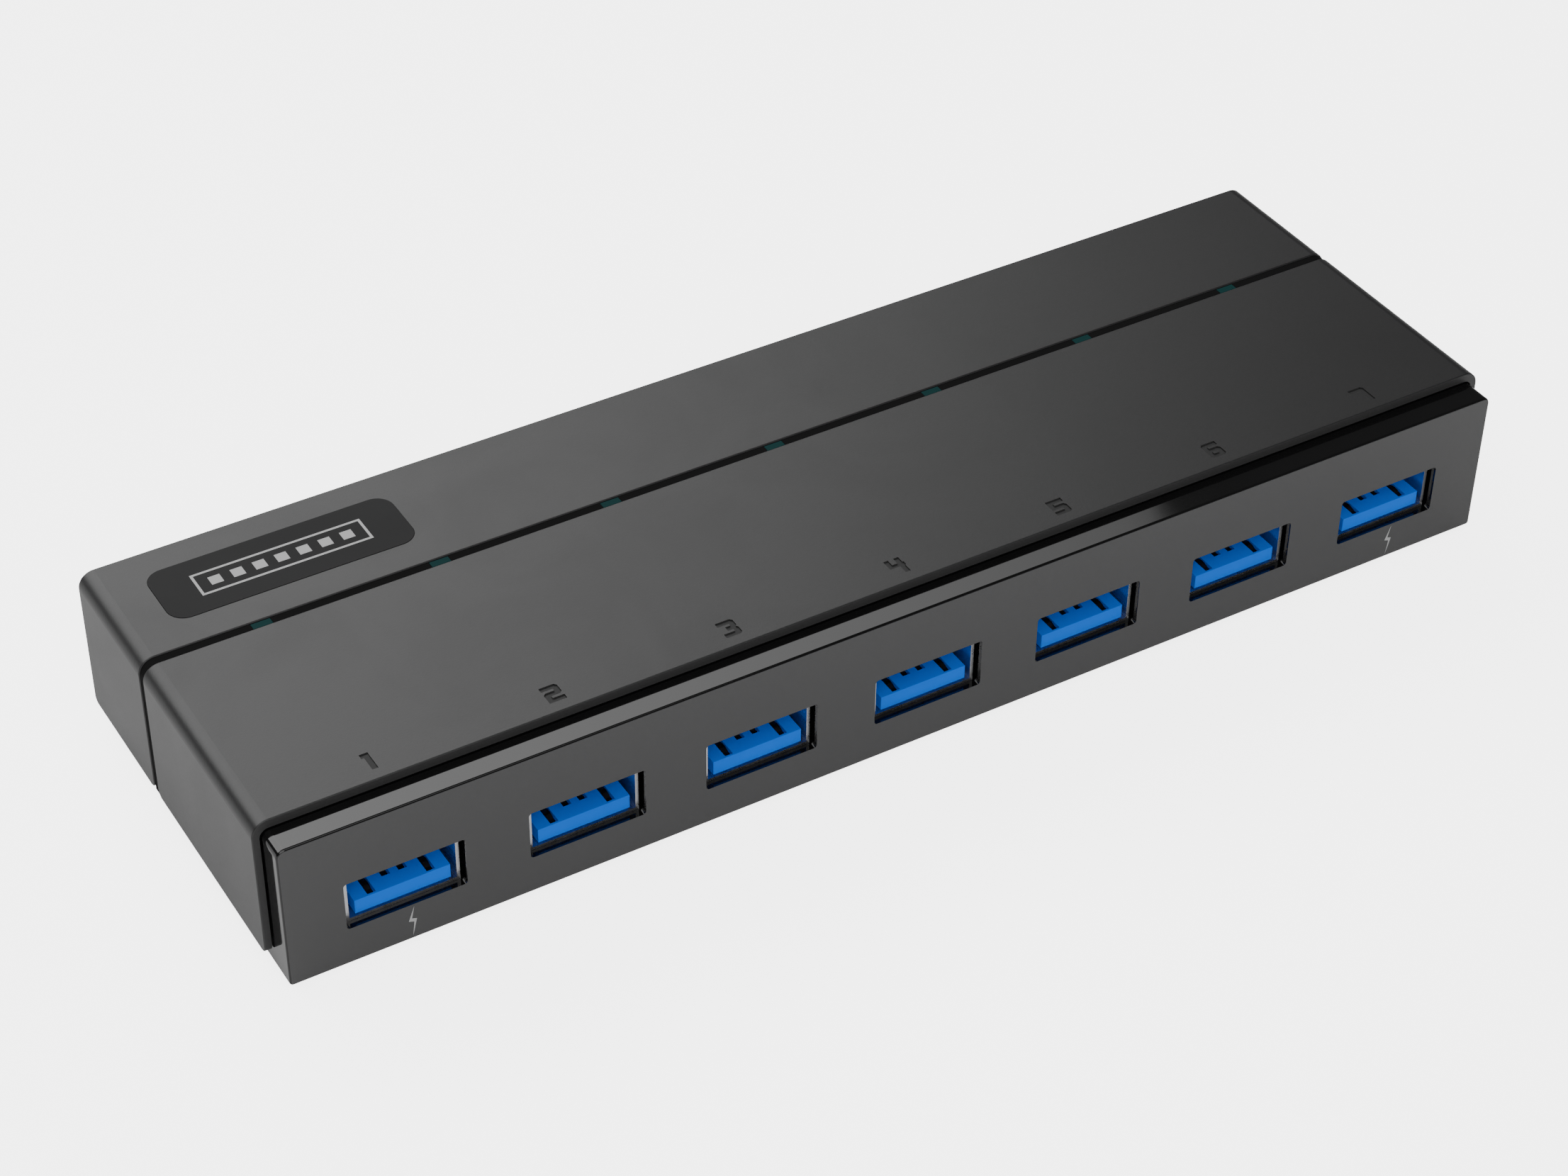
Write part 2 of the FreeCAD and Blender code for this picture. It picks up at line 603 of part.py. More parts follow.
# USB-A receptacles
for index in range(portCount):
    number = index + 1
    place = (portX(index), behind("dims.shellSetback"), boardTop)

    shell = newBody(f"usb_shell_{number}", *place)
    tube = newSketch(shell, "XZ")
    rectangle(tube, "-dims.shellWidth / 2", "0", "dims.shellWidth / 2", "dims.shellHeight")
    rectangle(
        tube, "-dims.shellWidth / 2 + dims.shellWall", "dims.shellWall",
        "dims.shellWidth / 2 - dims.shellWall", "dims.shellHeight - dims.shellWall",
    )
    pad(shell, tube, "dims.shellLength")
    for legX in ("-dims.shellWidth / 2", "dims.shellWidth / 2 - dims.shellWall"):
        leg = newSketch(shell, "YZ", legX)
        rectangle(
            leg, "dims.shellLegStart", "-dims.shellLegDrop",
            "dims.shellLegStart + dims.shellLegWidth", "dims.shellWall",
        )
        pad(shell, leg, "dims.shellWall")
    springs = newSketch(shell, "XY", "dims.shellHeight")
    for side in (-1, 1):
        # a slot on three sides of each spring leaf frees its front end
        leafX = f"{side} * dims.shellWidth / 4"
        inner = "dims.leafWidth / 2"
        outer = "(dims.leafWidth / 2 + dims.leafSlot)"
        slotStart = "dims.leafStart - dims.leafSlot"
        slotEnd = "dims.leafStart + dims.leafLength"
        outline(springs, [
            (f"{leafX} - {outer}", slotStart), (f"{leafX} + {outer}", slotStart),
            (f"{leafX} + {outer}", slotEnd), (f"{leafX} + {inner}", slotEnd),
            (f"{leafX} + {inner}", "dims.leafStart"), (f"{leafX} - {inner}", "dims.leafStart"),
            (f"{leafX} - {inner}", slotEnd), (f"{leafX} - {outer}", slotEnd),
        ])
    pocket(shell, springs, "dims.shellWall", -1)
    outerX = size("shellWidth") / 2
    topZ = size("shellHeight")

    roundEdges(shell, "dims.shellWall", lambda edge: longEdge(edge, outerX, topZ))

    tongue = newBody(f"usb_tongue_{number}", *place)
    blade = newSketch(tongue, "XY", "dims.shellWall + dims.tongueGap")
    rectangle(blade, "-dims.tongueWidth / 2", "0", "dims.tongueWidth / 2", "dims.tongueLength")
    pad(tongue, blade, "dims.tongueThick")
    ways = newSketch(tongue, "XY", "dims.shellWall + dims.tongueGap + dims.tongueThick")
    for side in (-1, 1):
        for reach, start in (("outerContact", "outerStart"), ("innerContact", "innerStart")):
            rectangle(
                ways,
                f"{side} * dims.{reach} - dims.slotWidth / 2", f"dims.{start}",
                f"{side} * dims.{reach} + dims.slotWidth / 2", "dims.tongueLength",
            )
    pocket(tongue, ways, "dims.slotDepth", -1)

    block = newBody(f"usb_block_{number}", *place)
    filling = newSketch(block, "XZ", "dims.tongueLength")
    rectangle(
        filling, "-dims.shellWidth / 2 + dims.shellWall", "dims.shellWall",
        "dims.shellWidth / 2 - dims.shellWall", "dims.shellHeight - dims.shellWall",
    )
    pad(block, filling, "dims.shellLength - dims.tongueLength")
    tunnels = newSketch(block, "XZ", "dims.tongueLength")
    slotFloor = "dims.shellWall + dims.tongueGap + dims.tongueThick - dims.slotDepth"
    for side in (-1, 1):
        for reach in ("outerContact", "innerContact"):
            rectangle(
                tunnels,
                f"{side} * dims.{reach} - dims.bladeWidth / 2", slotFloor,
                f"{side} * dims.{reach} + dims.bladeWidth / 2", f"{slotFloor} + dims.bladeThick",
            )
    pocket(block, tunnels, "dims.shellLength - dims.tongueLength", +1)

# four contacts in each tongue, with tails that turn down to the board behind the socket
contacts = newBody("usb_contacts", "0", behind("dims.shellSetback"), boardTop)
bladeLow = "dims.shellWall + dims.tongueGap + dims.tongueThick - dims.slotDepth"
contactPads = []
for side in (-1, 1):
    for reach, start in (("outerContact", "outerStart"), ("innerContact", "innerStart")):
        profile = newSketch(
            contacts, "YZ", f"{portX(0)} + {side} * dims.{reach} - dims.bladeWidth / 2",
        )
        front = f"dims.{start} + dims.bladeStart"
        bladeTop = f"{bladeLow} + dims.bladeThick"
        humpTop = f"{bladeLow} + dims.humpRise"
        humpStart = f"{front} + dims.humpLead"
        flatStart = f"{humpStart} + (dims.humpFoot - dims.humpTop) / 2"
        tail = "dims.shellLength + dims.bladeThick"
        outline(profile, [
            (front, bladeLow), (tail, bladeLow), (tail, "0"), (f"{tail} + dims.bladeThick", "0"),
            (f"{tail} + dims.bladeThick", bladeTop), (f"{humpStart} + dims.humpFoot", bladeTop),
            (f"{flatStart} + dims.humpTop", humpTop), (flatStart, humpTop),
            (humpStart, bladeTop), (front, bladeTop),
        ])
        contactPads.append(pad(contacts, profile, "dims.bladeWidth"))
doc.recompute()
alongPorts(contacts, contactPads)

# status lights
ledTop = "dims.shellBase + dims.ledHeight + dims.ledGap"
for index in range(portCount):
    window = newBody(
        f"light_window_{index + 1}", portX(index, "dims.windowShift"), grooveMiddle, above(ledTop),
    )
    column = newSketch(window, "XY")
    box(column, "0", "0", "dims.windowWidth", "dims.windowDepth")
    columnHeight = f"dims.bodyHeight + dims.coverRise - dims.bandRecess - ({ledTop})"
    pad(window, column, columnHeight)
    collar = newSketch(window, "XY", f"dims.bodyHeight - dims.bodyWall - dims.flangeThick - ({ledTop})")
    box(collar, "0", "0", "dims.flangeWidth", "dims.flangeDepth")
    pad(window, collar, "dims.flangeThick")
    catcher = newSketch(window, "XY")
    box(catcher, "0", "0", "dims.windowWidth", "dims.flangeDepth")
    pad(window, catcher, "2 * dims.flangeThick")

lamps = newBody("status_leds", "0", grooveMiddle, boardTop)
chip = newSketch(lamps, "XY")
box(chip, portX(0, "dims.windowShift"), "0", "dims.ledLength", "dims.ledDepth")
base = pad(lamps, chip, "dims.ledHeight / 2")
lens = newSketch(lamps, "XY", "dims.ledHeight / 2")
box(lens, portX(0, "dims.windowShift"), "0", "dims.ledLength * 0.7", "dims.ledDepth")
dome = pad(lamps, lens, "dims.ledHeight / 2")
alongPorts(lamps, [base, dome])

# circuit board
board = newBody("circuit_board")
sheetOutline = newSketch(board, "XY", boardBottom)
rectangle(
    sheetOutline, f"-{boardHalf}", behind("dims.boardStart"), boardHalf, f"{backInner} - dims.boardBackGap",
)
pad(board, sheetOutline, "dims.boardThick")
holes = newSketch(board, "XY", boardTop)
for spotX, spotY in postSpots:
    circle(holes, spotX, spotY, "dims.postRadius + dims.postSlack")
for spotX, spotY in boardSpots:
    circle(holes, spotX, spotY, "dims.boardScrewHole")
pocket(board, holes, "dims.boardThick", -1)
legSlots = newSketch(board, "XY", boardTop)
for side in (-1, 1):
    box(
        legSlots, f"{portX(0)} + {side} * (dims.shellWidth - dims.shellWall) / 2",
        behind("dims.shellSetback + dims.shellLegStart + dims.shellLegWidth / 2"),
        "dims.shellWall + 2 * dims.shellLegSlack", "dims.shellLegWidth + 2 * dims.shellLegSlack",
    )
firstLegs = pocket(board, legSlots, "dims.boardThick", -1)
alongPorts(board, [firstLegs])

# parts on the board
def chipBody(label, spots, length, depth, height):
    chipPart = newBody(label, "0", "0", boardTop)
    pads = newSketch(chipPart, "XY")
    for spotX, spotY in spots:
        box(pads, spotX, spotY, length, depth)
    pad(chipPart, pads, height)
    return chipPart


for number, side in ((1, -1), (2, 1)):
    centreX = f"{side} * {chipReach}"
    controller = chipBody(
        f"hub_controller_{number}", [(centreX, behind(chipMiddle))],
        "dims.chipSize", "dims.chipSize", "dims.chipHeight",
    )
    pinOne = newSketch(controller, "XY", "dims.chipHeight")
    corner = "dims.chipSize / 2 - dims.dotInset"
    circle(pinOne, f"{centreX} - ({corner})", f"{behind(chipMiddle)} - ({corner})", "dims.dotRadius")
    pocket(controller, pinOne, "dims.dotDepth", -1)
chipBody(
    "crystals",
    [
        (f"{side} * {chipReach} + dims.chipSize", behind(f"{chipMiddle} + dims.crystalShift"))
        for side in (-1, 1)
    ],
    "dims.crystalLength", "dims.crystalDepth", "dims.crystalHeight",
)
coils = chipBody(
    "power_inductors",
    [
        (
            f"dims.coilStart + {step} * dims.coilStep",
            behind(f"{capacitorEnd} + dims.coilGap + dims.coilSize / 2"),
        )
        for step in range(3)
    ],
    "dims.coilSize", "dims.coilSize", "dims.coilHeight",
)
roundEdges(coils, "dims.coilRadius", lambda edge: along(edge, "Z"))
chipBody(
    "port_fuses",
    [(portX(index), behind(f"{fuseEnd} - dims.fuseDepth / 2")) for index in range(portCount)],
    "dims.fuseLength", "dims.fuseDepth", "dims.fuseHeight",
)
chipBody(
    "chip_capacitors",
    [
        (
            f"{side} * {chipReach} + {step} * dims.passiveStep",
            behind(f"{chipMiddle} + dims.passiveShift"),
        )
        for side in (-1, 1)
        for step in (-1.5, -0.5, 0.5, 1.5)
    ],
    "dims.passiveLength", "dims.passiveDepth", "dims.passiveHeight",
)
cans = newBody("port_capacitors", "0", "0", boardTop)
feet = newSketch(cans, "XY")
capPlace = (portX(0, "dims.portPitch / 2 "), behind(f"{canStart} + {canBaseSide} / 2"))
box(feet, *capPlace, canBaseSide, canBaseSide)
canBase = pad(cans, feet, "dims.capBase")
rounds = newSketch(cans, "XY", "dims.capBase")
circle(rounds, *capPlace, "dims.capRadius")
canTop = pad(cans, rounds, "dims.capHeight - dims.capBase")
canRow = cans.newObject("PartDesign::LinearPattern", "canRow")
canRow.Originals = [canBase, canTop]
canRow.Direction = (originItem(cans, "X_Axis"), [""])
canRow.setExpression("Length", f"{portCount - 2} * dims.portPitch")
canRow.Occurrences = portCount - 1
cans.Tip = canRow

# power jack
jack = newBody("dc_jack", jackX, backInner, boardTop)
housing = newSketch(jack, "XZ", "-dims.jackLength")
rectangle(housing, "-dims.jackWidth / 2", "0", "dims.jackWidth / 2", "dims.jackHeight")
pad(jack, housing, "dims.jackLength")
nose = newSketch(jack, "XZ", "0")
circle(nose, "0", "dims.jackAxis", "dims.jackNose")
pad(jack, nose, "dims.backWall")
bore = newSketch(jack, "XZ", "dims.backWall")
circle(bore, "0", "dims.jackAxis", "dims.jackBore")
pocket(jack, bore, "dims.jackDepth + dims.backWall", -1)
pinSeat = newSketch(jack, "XZ", "-dims.jackDepth")
circle(pinSeat, "0", "dims.jackAxis", "dims.jackPinRoot")
pocket(jack, pinSeat, "dims.jackLength - dims.jackDepth", -1)

pin = newBody("dc_jack_pin", jackX, f"{backInner} - dims.jackLength", f"{boardTop} + dims.jackAxis")
half = newSketch(pin, "XY")
pinFoot = "dims.jackLength - dims.jackDepth"
pinEnd = f"{pinFoot} + dims.jackPinLength"
outline(half, [
    ("0", "0"), ("dims.jackPinRoot", "0"), ("dims.jackPinRoot", pinFoot), ("dims.jackPin", pinFoot),
    ("dims.jackPin", f"{pinEnd} - dims.jackPin / 2"),
    ("dims.jackPin / 2", pinEnd), ("0", pinEnd),
])
turned = pin.newObject("PartDesign::Revolution", "pinTurned")
turned.Profile = half
turned.ReferenceAxis = (half, ["V_Axis"])
turned.Angle = 360

# upstream socket
upPlace = (upX, f"{backOuter} - dims.upSetback", boardTop)
upShell = newBody("usb_b_shell", *upPlace)
tube = newSketch(upShell, "XZ", "-dims.upLength")
rectangle(tube, "-dims.upWidth / 2", "0", "dims.upWidth / 2", "dims.upHeight")
rectangle(
    tube, "-dims.upWidth / 2 + dims.upWall", "dims.upWall",
    "dims.upWidth / 2 - dims.upWall", "dims.upHeight - dims.upWall",
)
pad(upShell, tube, "dims.upLength")

upBody = newBody("usb_b_insulator", *upPlace)
filling = newSketch(upBody, "XZ", "-dims.upLength")
rectangle(
    filling, "-dims.upWidth / 2 + dims.upWall", "dims.upWall",
    "dims.upWidth / 2 - dims.upWall", "dims.upHeight - dims.upWall",
)
pad(upBody, filling, "dims.upLength - dims.upSetback")
cavity = newSketch(upBody, "XZ", "-dims.upSetback")
upLow = "dims.upWall + dims.upFloor"
middleUp = f"{upLow} + dims.upLowHeight"
high = f"{middleUp} + dims.upHighHeight"
outline(cavity, [
    ("-dims.upLowWidth / 2", upLow), ("dims.upLowWidth / 2", upLow),
    ("dims.upLowWidth / 2", f"{middleUp} - dims.upCut"), ("dims.upHighWidth / 2", middleUp),
    ("dims.upHighWidth / 2", high), ("-dims.upHighWidth / 2", high),
    ("-dims.upHighWidth / 2", middleUp), ("-dims.upLowWidth / 2", f"{middleUp} - dims.upCut"),
])
pocket(upBody, cavity, "dims.upCavity", -1)

upStem = newBody("usb_b_tongue", *upPlace)
stem = newSketch(upStem, "XZ", "-dims.upSetback - dims.upCavity")
box(stem, "0", f"{upLow} + dims.upStemLift + dims.upStemHeight / 2", "dims.upStemWidth", "dims.upStemHeight")
box(stem, "0", f"{upLow} + dims.upFinLift + dims.upFinHeight / 2", "dims.upFinWidth", "dims.upFinHeight")
pad(upStem, stem, "dims.upCavity - dims.upTongueShort")

upContacts = newBody("usb_b_contacts", *upPlace)
strips = newSketch(upContacts, "XZ", "-dims.upSetback - dims.upCavity")
for side in (-1, 1):
    for height in (
        f"{upLow} + dims.upStemLift - dims.upStripThick / 2",
        f"{upLow} + dims.upStemLift + dims.upStemHeight + dims.upStripThick / 2",
    ):
        box(strips, f"{side} * dims.upStripReach", height, "dims.upStripWidth", "dims.upStripThick")
for step in (-2, -1, 0, 1, 2):
    height = f"{upLow} + dims.upFinLift - dims.upStripThick / 2"
    box(strips, f"{step} * dims.upFineStep", height, "dims.upFineWidth", "dims.upStripThick")
pad(upContacts, strips, "dims.upCavity - dims.upStripShort")

# screws and feet
def screwSet(label, spots, x, z, radii, heights, headUp):
    # plain shank, flat head with a cross recess; the head is above or below the seat plane
    screws = newBody(label, x, "0", z)
    shankRadius, headRadius = radii
    shankLength, headHeight = heights
    shankSketch = newSketch(screws, "XY", f"-({shankLength})" if headUp else "0")
    headSketch = newSketch(screws, "XY", "0" if headUp else f"-({headHeight})")
    for spotX, spotY in spots:
        circle(shankSketch, spotX, spotY, shankRadius)
        circle(headSketch, spotX, spotY, headRadius)
    pad(screws, shankSketch, shankLength)
    pad(screws, headSketch, headHeight)
    crossSketch = newSketch(screws, "XY", headHeight if headUp else f"-({headHeight})")
    arm = "dims.crossLength / 2"
    thin = "dims.crossWidth / 2"
    for spotX, spotY in spots:
        signs = [
            (-1, -1, "arm"), (-1, -1, "low"), (1, -1, "low"), (1, -1, "arm"),
            (1, 1, "arm"), (1, 1, "low"), (-1, 1, "low"), (-1, 1, "arm"),
        ]
        corners = []
        for signX, signY, kind in signs:
            reachX, reachY = (arm, thin) if kind == "arm" else (thin, arm)
            corners.append((f"{spotX} + {signX} * {reachX}", f"{spotY} + {signY} * {reachY}"))
        outline(crossSketch, corners)
    pocket(screws, crossSketch, "dims.crossDepth", -1 if headUp else +1)
    return screws


screwSet(
    "case_screws", postSpots, "0", above("dims.headRecess"),
    ("dims.caseScrewRadius", "dims.caseHeadRadius"),
    ("dims.caseScrewLength - dims.headRecess", "dims.caseHeadHeight"), False,
)
screwSet(
    "board_screws", boardSpots, "0", boardTop,
    ("dims.boardScrewRadius", "dims.boardHeadRadius"),
    ("dims.boardScrewLength - dims.boardScrewGap", "dims.boardHeadHeight"), True,
)
footSet = newBody("rubber_feet")
discs = newSketch(footSet, "XY", "0")
for spotX, spotY in footSpots:
    circle(discs, spotX, spotY, "dims.footRadius")
pad(footSet, discs, "dims.footDrop + dims.footSink")
roundEdges(footSet, "dims.footEdge", lambda edge: near(edge.BoundBox.ZMax, 0.0, 0.001))

# checks and export
doc.recompute()
for item in doc.Objects:
    assert "Invalid" not in item.State and "Error" not in item.State, (item.Name, item.State)
for part in parts:
    assert not part.Shape.isNull() and part.Shape.isValid(), part.Label
    part.Shape.exportStep(f"parts/{part.Label}.step")
print(len(parts), "parts written")
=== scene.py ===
import math
import bmesh
import bpy
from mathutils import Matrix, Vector


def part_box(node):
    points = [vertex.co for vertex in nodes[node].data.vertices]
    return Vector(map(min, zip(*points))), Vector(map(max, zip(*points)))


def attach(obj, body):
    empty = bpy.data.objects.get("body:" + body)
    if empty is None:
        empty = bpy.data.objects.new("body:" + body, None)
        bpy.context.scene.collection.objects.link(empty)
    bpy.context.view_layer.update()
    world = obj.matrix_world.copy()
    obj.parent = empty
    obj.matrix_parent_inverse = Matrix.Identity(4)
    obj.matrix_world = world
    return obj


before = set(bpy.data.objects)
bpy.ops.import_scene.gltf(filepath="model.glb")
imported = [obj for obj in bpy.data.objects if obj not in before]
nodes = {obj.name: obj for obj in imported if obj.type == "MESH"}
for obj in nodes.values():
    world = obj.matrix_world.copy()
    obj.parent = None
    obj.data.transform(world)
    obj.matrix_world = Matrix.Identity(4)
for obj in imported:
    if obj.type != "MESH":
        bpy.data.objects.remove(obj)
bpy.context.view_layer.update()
print("stage: frame loaded,", len(nodes), "nodes")

mm = 0.001
portNumbers = range(1, 8)
middlePort = 4


# small helpers

def newMaterial(name):
    material = bpy.data.materials.new(name)
    material.use_nodes = True
    tree = material.node_tree
    tree.nodes.clear()
    output = tree.nodes.new("ShaderNodeOutputMaterial")
    shader = tree.nodes.new("ShaderNodeBsdfPrincipled")
    tree.links.new(shader.outputs["BSDF"], output.inputs["Surface"])
    return material, tree, shader


def addNode(tree, kind, **settings):
    node = tree.nodes.new(kind)
    for key, value in settings.items():
        if key in node.inputs:
            node.inputs[key].default_value = value
        else:
            setattr(node, key, value)
    return node


def objectCoordinates(tree):
    return addNode(tree, "ShaderNodeTexCoord").outputs["Object"]


def rampNode(tree, source, stops):
    # stops are (position, grey or colour)
    ramp = addNode(tree, "ShaderNodeValToRGB")
    elements = ramp.color_ramp.elements
    while len(elements) > 1:
        elements.remove(elements[-1])
    for index, (position, value) in enumerate(stops):
        colour = (value, value, value, 1.0) if isinstance(value, (int, float)) else (*value, 1.0)
        element = elements[0] if index == 0 else elements.new(position)
        element.position = position
        element.color = colour
    tree.links.new(source, ramp.inputs["Fac"])
    return ramp.outputs["Color"]


def rangeMask(tree, source, start, end):
    # 0 at start and before it, 1 at end and past it
    mask = addNode(tree, "ShaderNodeMapRange")
    mask.inputs["From Min"].default_value = start
    mask.inputs["From Max"].default_value = end
    tree.links.new(source, mask.inputs["Value"])
    return mask.outputs["Result"]


def splitAxes(tree, source):
    split = addNode(tree, "ShaderNodeSeparateXYZ")
    tree.links.new(source, split.inputs["Vector"])
    return split.outputs


def newGroup(name, inputs, outputs):
    group = bpy.data.node_groups.new(name, "ShaderNodeTree")
    for label, kind in inputs:
        group.interface.new_socket(name=label, in_out="INPUT", socket_type=kind)
    for label, kind in outputs:
        group.interface.new_socket(name=label, in_out="OUTPUT", socket_type=kind)
    source = group.nodes.new("NodeGroupInput")
    sink = group.nodes.new("NodeGroupOutput")
    return group, source, sink


# shared shader effects

grainShape = {
    "detail": 3.0, "roughness": 0.6, "pitSmoothness": 0.4, "pitScale": 0.55,
    "patchScale": 38.0, "patchDetail": 4.0, "patchRoughness": 0.55,
}
handlingShape = {
    "smearScale": 55.0, "smearRange": (0.42, 0.72), "smearDetail": 5.0, "smearRoughness": 0.6,
    "smearDistortion": 0.8,
    "scratchScale": 260.0, "scratchRange": (0.66, 0.70), "scratchDetail": 2.0,
    "scratchRoughness": 0.5, "scratchTurn": 0.5, "scratchStretch": 0.06,
}


def makeMouldGrain(values):
    # spark-eroded tool texture: a fine noise and pits as a height, and slow patches as a mask
    group, source, sink = newGroup(
        "mouldGrain",
        [("Vector", "NodeSocketVector"), ("Grain Scale", "NodeSocketFloat"),
         ("Pit Amount", "NodeSocketFloat")],
        [("Height", "NodeSocketFloat"), ("Patch", "NodeSocketFloat")],
    )
    link = group.links.new
    fine = addNode(
        group, "ShaderNodeTexNoise", Detail=values["detail"], Roughness=values["roughness"],
    )
    link(source.outputs["Vector"], fine.inputs["Vector"])
    link(source.outputs["Grain Scale"], fine.inputs["Scale"])
    pits = addNode(
        group, "ShaderNodeTexVoronoi", feature="SMOOTH_F1", Smoothness=values["pitSmoothness"],
    )
    link(source.outputs["Vector"], pits.inputs["Vector"])
    pitScale = addNode(group, "ShaderNodeMath", operation="MULTIPLY")
    pitScale.inputs[1].default_value = values["pitScale"]
    link(source.outputs["Grain Scale"], pitScale.inputs[0])
    link(pitScale.outputs[0], pits.inputs["Scale"])
    weighted = addNode(group, "ShaderNodeMath", operation="MULTIPLY")
    link(pits.outputs["Distance"], weighted.inputs[0])
    link(source.outputs["Pit Amount"], weighted.inputs[1])
    total = addNode(group, "ShaderNodeMath", operation="ADD")
    link(fine.outputs["Fac"], total.inputs[0])
    link(weighted.outputs[0], total.inputs[1])
    link(total.outputs[0], sink.inputs["Height"])
    patch = addNode(
        group, "ShaderNodeTexNoise", Scale=values["patchScale"], Detail=values["patchDetail"],
        Roughness=values["patchRoughness"],
    )
    link(source.outputs["Vector"], patch.inputs["Vector"])
    link(patch.outputs["Fac"], sink.inputs["Patch"])
    return group


def makeHandling(values):
    # faint smears and hairline scratches from handling, each as a mask
    group, source, sink = newGroup(
        "handling",
        [("Vector", "NodeSocketVector")],
        [("Smear", "NodeSocketFloat"), ("Scratch", "NodeSocketFloat")],
    )
    link = group.links.new
    smear = addNode(
        group, "ShaderNodeTexNoise", Scale=values["smearScale"], Detail=values["smearDetail"],
        Roughness=values["smearRoughness"], Distortion=values["smearDistortion"],
    )
    link(source.outputs["Vector"], smear.inputs["Vector"])
    link(rangeMask(group, smear.outputs["Fac"], *values["smearRange"]), sink.inputs["Smear"])
    turned = addNode(group, "ShaderNodeMapping")
    turned.inputs["Rotation"].default_value = (0.0, 0.0, values["scratchTurn"])
    turned.inputs["Scale"].default_value = (values["scratchStretch"], 1.0, 1.0)
    link(source.outputs["Vector"], turned.inputs["Vector"])
    lines = addNode(
        group, "ShaderNodeTexNoise", Scale=values["scratchScale"],
        Detail=values["scratchDetail"], Roughness=values["scratchRoughness"],
    )
    link(turned.outputs["Vector"], lines.inputs["Vector"])
    link(rangeMask(group, lines.outputs["Fac"], *values["scratchRange"]), sink.inputs["Scratch"])
    return group


mouldGrain = makeMouldGrain(grainShape)
handling = makeHandling(handlingShape)


def placeGroup(tree, group, **values):
    node = tree.nodes.new("ShaderNodeGroup")
    node.node_tree = group
    tree.links.new(objectCoordinates(tree), node.inputs["Vector"])
    for key, value in values.items():
        node.inputs[key].default_value = value
    return node


scratchDepth = 0.01 * mm


def plasticMaterial(name, values):
    # moulded plastic: grain bump, slight patches in colour, smears in roughness, hairline bump
    material, tree, shader = newMaterial(name)
    link = tree.links.new
    grain = placeGroup(
        tree, mouldGrain, **{"Grain Scale": values["grainScale"], "Pit Amount": values["pits"]},
    )
    marks = placeGroup(tree, handling)
    base = Vector(values["colour"])
    colour = rampNode(tree, grain.outputs["Patch"], [
        (0.25, tuple(base * (1 - values["patch"]))), (0.75, tuple(base * (1 + values["patch"]))),
    ])
    link(colour, shader.inputs["Base Color"])
    rough = addNode(tree, "ShaderNodeMath", operation="MULTIPLY_ADD", use_clamp=True)
    rough.inputs[1].default_value = values["smear"]
    rough.inputs[2].default_value = values["roughness"]
    link(marks.outputs["Smear"], rough.inputs[0])
    link(rough.outputs[0], shader.inputs["Roughness"])
    bump = addNode(tree, "ShaderNodeBump", Strength=values["bump"], Distance=values["bumpDepth"])
    link(grain.outputs["Height"], bump.inputs["Height"])
    scratchBump = addNode(
        tree, "ShaderNodeBump", Strength=values["scratch"], Distance=scratchDepth,
    )
    link(marks.outputs["Scratch"], scratchBump.inputs["Height"])
    link(bump.outputs["Normal"], scratchBump.inputs["Normal"])
    link(scratchBump.outputs["Normal"], shader.inputs["Normal"])
    shader.inputs["IOR"].default_value = 1.5
    shader.inputs["Specular IOR Level"].default_value = values["specular"]
    return material, tree, shader


def setMaterial(material, *names):
    for name in names:
        piece = nodes[name]
        for slot in piece.material_slots:
            slot.material = material


def named(prefix):
    return [name for name in nodes if name.startswith(prefix)]


# case plastics

coverLook = {
    "colour": (0.012, 0.012, 0.0122), "roughness": 0.38, "smear": 0.03, "patch": 0.05,
    "grainScale": 5200.0, "pits": 0.35, "bump": 0.18, "bumpDepth": 0.00004, "scratch": 0.05,
    "specular": 0.5,
}
glossLook = {
    "colour": (0.003, 0.003, 0.0031), "roughness": 0.045, "smear": 0.03, "patch": 0.05,
    "grainScale": 900.0, "pits": 0.0, "bump": 0.02, "bumpDepth": 0.00001, "scratch": 0.03,
    "specular": 0.5,
}


def finishAndPaintedLightWhere(tree, shader, mask, colour, roughness):
    # another colour and roughness where the mask is 1; the roughness is a real finish, and every
    # colour given here is painted light, lighter or darker
    changes = (("Base Color", "RGBA", (*colour, 1.0)), ("Roughness", "FLOAT", roughness))
    for label, kind, value in changes:
        mix = addNode(tree, "ShaderNodeMix", data_type=kind)
        before = shader.inputs[label].links[0].from_socket
        sockets = [item for item in mix.inputs if item.enabled]
        tree.links.new(mask, sockets[0])
        tree.links.new(before, sockets[1])
        sockets[2].default_value = value
        result = next(item for item in mix.outputs if item.enabled)
        tree.links.new(result, shader.inputs[label])


# where the masks start and end: parts of a normal, and mm below the cover's top
maskRange = {"front": (-0.85, -0.98), "flat": (0.992, 0.998), "sunk": (0.08, 0.1)}


